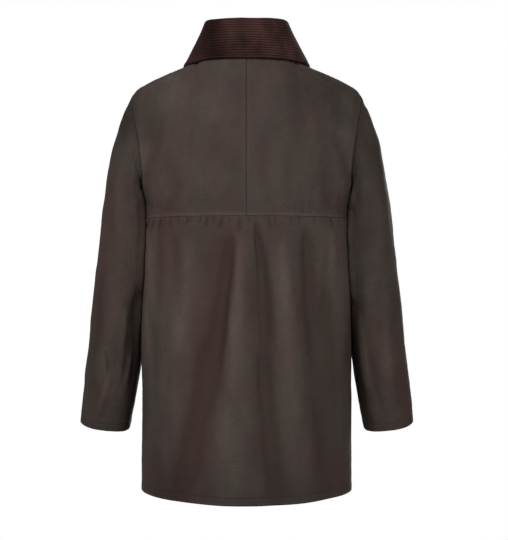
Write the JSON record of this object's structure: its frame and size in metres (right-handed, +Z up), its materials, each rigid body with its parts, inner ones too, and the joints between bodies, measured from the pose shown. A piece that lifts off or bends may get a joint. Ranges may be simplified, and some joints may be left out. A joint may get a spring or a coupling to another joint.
{
  "type": "waxed cotton jacket",
  "caption": "Hip-length waxed cotton jacket in its worn form, with a corduroy collar folded over, set-in sleeves and a closed front zip.",
  "frame": {"origin": "where the wearer's shoulders hold the jacket: on its centre line, level with the two side neck points", "axes": "+Z up, the wearer faces -Y, their left is +X"},
  "size_m": [0.643, 0.3014, 0.896],
  "materials": {
    "waxed_cotton": "dark brown waxed cotton, dull satin with a faint reddish and olive mottle",
    "corduroy": "dark brown corduroy, matt with a soft nap",
    "zip_tape": "dark brown woven tape",
    "brass": "aged brass, satin"
  },
  "bodies": {
    "jacket": {"back_lower": "waxed_cotton", "back_yoke_left": "waxed_cotton", "back_yoke_right": "waxed_cotton", "front_left": "waxed_cotton", "front_right": "waxed_cotton", "sleeve_left": "waxed_cotton", "sleeve_right": "waxed_cotton", "collar": "corduroy", "zip_tape_left": "zip_tape", "zip_tape_right": "zip_tape", "zip_chain": "brass", "zip_box": "brass", "zip_slider": "brass"},
    "pull": {"zip_pull": "brass"}
  },
  "joints": [
    {"name": "pull_swing", "type": "hinge", "parent": "jacket", "child": "pull", "pos_m": [0, -0.10709, -0.10232], "axis": [-1, 0, 0], "range_deg": [0, 150]}
  ]
}
